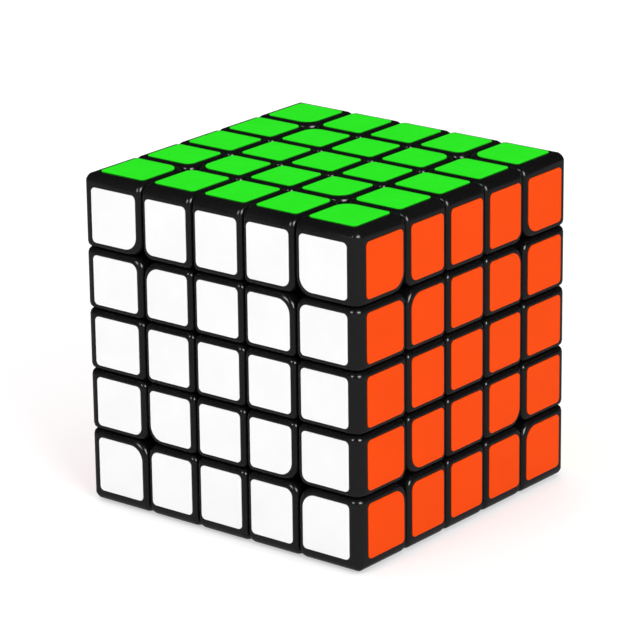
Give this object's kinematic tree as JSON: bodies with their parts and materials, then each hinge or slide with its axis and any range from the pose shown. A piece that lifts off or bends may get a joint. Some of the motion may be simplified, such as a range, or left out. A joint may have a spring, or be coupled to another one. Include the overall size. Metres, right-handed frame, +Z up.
{
  "type": "twisty puzzle cube",
  "caption": "Twisty puzzle cube of five layers each way; rounded black pieces with coloured stickers, and six outer layers that turn about a hidden core.",
  "frame": {"origin": "centre of the cube, which is the centre of its core", "axes": "+Z up through the green face, +X out of the orange face, -Y out of the white face"},
  "size_m": [0.062, 0.062, 0.062],
  "materials": {
    "black_plastic": "satin black ABS",
    "core_plastic": "matt natural nylon",
    "steel": "zinc-plated",
    "sticker_white": "smooth vinyl",
    "sticker_yellow": "smooth vinyl",
    "sticker_green": "smooth vinyl",
    "sticker_blue": "smooth vinyl",
    "sticker_orange": "smooth vinyl",
    "sticker_red": "smooth vinyl",
    "sticker_mixed": "smooth vinyl"
  },
  "bodies": {
    "core": {"core": "core_plastic", "tension_screws": "steel", "tension_springs": "steel", "spring_washers": "steel"},
    "face_up": {"centres_up": "black_plastic", "stickers_up": "sticker_green"},
    "face_down": {"centres_down": "black_plastic", "stickers_down": "sticker_blue"},
    "face_front": {"centres_front": "black_plastic", "stickers_front": "sticker_white"},
    "face_back": {"centres_back": "black_plastic", "stickers_back": "sticker_yellow"},
    "face_right": {"centres_right": "black_plastic", "stickers_right": "sticker_orange"},
    "face_left": {"centres_left": "black_plastic", "stickers_left": "sticker_red"},
    "edge_up_right": {"edge_up_right": "black_plastic", "stickers_up_right": "sticker_mixed"},
    "edge_up_back": {"edge_up_back": "black_plastic", "stickers_up_back": "sticker_mixed"},
    "edge_up_left": {"edge_up_left": "black_plastic", "stickers_up_left": "sticker_mixed"},
    "edge_up_front": {"edge_up_front": "black_plastic", "stickers_up_front": "sticker_mixed"},
    "edge_down_right": {"edge_down_right": "black_plastic", "stickers_down_right": "sticker_mixed"},
    "edge_down_back": {"edge_down_back": "black_plastic", "stickers_down_back": "sticker_mixed"},
    "edge_down_left": {"edge_down_left": "black_plastic", "stickers_down_left": "sticker_mixed"},
    "edge_down_front": {"edge_down_front": "black_plastic", "stickers_down_front": "sticker_mixed"},
    "edge_right_back": {"edge_right_back": "black_plastic", "stickers_right_back": "sticker_mixed"},
    "edge_left_back": {"edge_left_back": "black_plastic", "stickers_left_back": "sticker_mixed"},
    "edge_left_front": {"edge_left_front": "black_plastic", "stickers_left_front": "sticker_mixed"},
    "edge_right_front": {"edge_right_front": "black_plastic", "stickers_right_front": "sticker_mixed"},
    "corner_up_right_back": {"corner_up_right_back": "black_plastic", "stickers_up_right_back": "sticker_mixed"},
    "corner_up_left_back": {"corner_up_left_back": "black_plastic", "stickers_up_left_back": "sticker_mixed"},
    "corner_up_left_front": {"corner_up_left_front": "black_plastic", "stickers_up_left_front": "sticker_mixed"},
    "corner_up_right_front": {"corner_up_right_front": "black_plastic", "stickers_up_right_front": "sticker_mixed"},
    "corner_down_right_front": {"corner_down_right_front": "black_plastic", "stickers_down_right_front": "sticker_mixed"},
    "corner_down_right_back": {"corner_down_right_back": "black_plastic", "stickers_down_right_back": "sticker_mixed"},
    "corner_down_left_back": {"corner_down_left_back": "black_plastic", "stickers_down_left_back": "sticker_mixed"},
    "corner_down_left_front": {"corner_down_left_front": "black_plastic", "stickers_down_left_front": "sticker_mixed"}
  },
  "joints": [
    {"name": "turn_up", "type": "hinge", "parent": "core", "child": "face_up", "pos_m": [0, 0, 0], "axis": [0, 0, 1], "continuous": true},
    {"name": "turn_down", "type": "hinge", "parent": "core", "child": "face_down", "pos_m": [0, 0, 0], "axis": [0, 0, 1], "continuous": true},
    {"name": "turn_front", "type": "hinge", "parent": "core", "child": "face_front", "pos_m": [0, 0, 0], "axis": [0, 1, 0], "continuous": true},
    {"name": "turn_back", "type": "hinge", "parent": "core", "child": "face_back", "pos_m": [0, 0, 0], "axis": [0, 1, 0], "continuous": true},
    {"name": "turn_right", "type": "hinge", "parent": "core", "child": "face_right", "pos_m": [0, 0, 0], "axis": [1, 0, 0], "continuous": true},
    {"name": "turn_left", "type": "hinge", "parent": "core", "child": "face_left", "pos_m": [0, 0, 0], "axis": [1, 0, 0], "continuous": true},
    {"name": "swing_up_right", "type": "hinge", "parent": "face_up", "child": "edge_up_right", "pos_m": [0, 0, 0], "axis": [1, 0, 0], "continuous": true},
    {"name": "swing_up_back", "type": "hinge", "parent": "face_back", "child": "edge_up_back", "pos_m": [0, 0, 0], "axis": [0, 0, 1], "continuous": true},
    {"name": "swing_up_left", "type": "hinge", "parent": "face_up", "child": "edge_up_left", "pos_m": [0, 0, 0], "axis": [1, 0, 0], "continuous": true},
    {"name": "swing_up_front", "type": "hinge", "parent": "face_front", "child": "edge_up_front", "pos_m": [0, 0, 0], "axis": [0, 0, 1], "continuous": true},
    {"name": "swing_down_right", "type": "hinge", "parent": "face_down", "child": "edge_down_right", "pos_m": [0, 0, 0], "axis": [1, 0, 0], "continuous": true},
    {"name": "swing_down_back", "type": "hinge", "parent": "face_back", "child": "edge_down_back", "pos_m": [0, 0, 0], "axis": [0, 0, 1], "continuous": true},
    {"name": "swing_down_left", "type": "hinge", "parent": "face_down", "child": "edge_down_left", "pos_m": [0, 0, 0], "axis": [1, 0, 0], "continuous": true},
    {"name": "swing_down_front", "type": "hinge", "parent": "face_front", "child": "edge_down_front", "pos_m": [0, 0, 0], "axis": [0, 0, 1], "continuous": true},
    {"name": "swing_right_back", "type": "hinge", "parent": "face_right", "child": "edge_right_back", "pos_m": [0, 0, 0], "axis": [0, 1, 0], "continuous": true},
    {"name": "swing_left_back", "type": "hinge", "parent": "face_left", "child": "edge_left_back", "pos_m": [0, 0, 0], "axis": [0, 1, 0], "continuous": true},
    {"name": "swing_left_front", "type": "hinge", "parent": "face_left", "child": "edge_left_front", "pos_m": [0, 0, 0], "axis": [0, 1, 0], "continuous": true},
    {"name": "swing_right_front", "type": "hinge", "parent": "face_right", "child": "edge_right_front", "pos_m": [0, 0, 0], "axis": [0, 1, 0], "continuous": true},
    {"name": "swing_up_right_back", "type": "hinge", "parent": "edge_right_back", "child": "corner_up_right_back", "pos_m": [0, 0, 0], "axis": [0, 0, 1], "continuous": true},
    {"name": "swing_up_left_back", "type": "hinge", "parent": "edge_left_back", "child": "corner_up_left_back", "pos_m": [0, 0, 0], "axis": [0, 0, 1], "continuous": true},
    {"name": "swing_up_left_front", "type": "hinge", "parent": "edge_left_front", "child": "corner_up_left_front", "pos_m": [0, 0, 0], "axis": [0, 0, 1], "continuous": true},
    {"name": "swing_up_right_front", "type": "hinge", "parent": "edge_right_front", "child": "corner_up_right_front", "pos_m": [0, 0, 0], "axis": [0, 0, 1], "continuous": true},
    {"name": "swing_down_right_front", "type": "hinge", "parent": "edge_right_front", "child": "corner_down_right_front", "pos_m": [0, 0, 0], "axis": [0, 0, 1], "continuous": true},
    {"name": "swing_down_right_back", "type": "hinge", "parent": "edge_right_back", "child": "corner_down_right_back", "pos_m": [0, 0, 0], "axis": [0, 0, 1], "continuous": true},
    {"name": "swing_down_left_back", "type": "hinge", "parent": "edge_left_back", "child": "corner_down_left_back", "pos_m": [0, 0, 0], "axis": [0, 0, 1], "continuous": true},
    {"name": "swing_down_left_front", "type": "hinge", "parent": "edge_left_front", "child": "corner_down_left_front", "pos_m": [0, 0, 0], "axis": [0, 0, 1], "continuous": true}
  ],
  "couplings": [
    {"joint": "swing_up_right", "follows": "turn_right", "ratio": 1},
    {"joint": "swing_up_back", "follows": "turn_up", "ratio": 1},
    {"joint": "swing_up_left", "follows": "turn_left", "ratio": 1},
    {"joint": "swing_up_front", "follows": "turn_up", "ratio": 1},
    {"joint": "swing_down_right", "follows": "turn_right", "ratio": 1},
    {"joint": "swing_down_back", "follows": "turn_down", "ratio": 1},
    {"joint": "swing_down_left", "follows": "turn_left", "ratio": 1},
    {"joint": "swing_down_front", "follows": "turn_down", "ratio": 1},
    {"joint": "swing_right_back", "follows": "turn_back", "ratio": 1},
    {"joint": "swing_left_back", "follows": "turn_back", "ratio": 1},
    {"joint": "swing_left_front", "follows": "turn_front", "ratio": 1},
    {"joint": "swing_right_front", "follows": "turn_front", "ratio": 1},
    {"joint": "swing_up_right_back", "follows": "turn_up", "ratio": 1},
    {"joint": "swing_up_left_back", "follows": "turn_up", "ratio": 1},
    {"joint": "swing_up_left_front", "follows": "turn_up", "ratio": 1},
    {"joint": "swing_up_right_front", "follows": "turn_up", "ratio": 1},
    {"joint": "swing_down_right_front", "follows": "turn_down", "ratio": 1},
    {"joint": "swing_down_right_back", "follows": "turn_down", "ratio": 1},
    {"joint": "swing_down_left_back", "follows": "turn_down", "ratio": 1},
    {"joint": "swing_down_left_front", "follows": "turn_down", "ratio": 1}
  ]
}
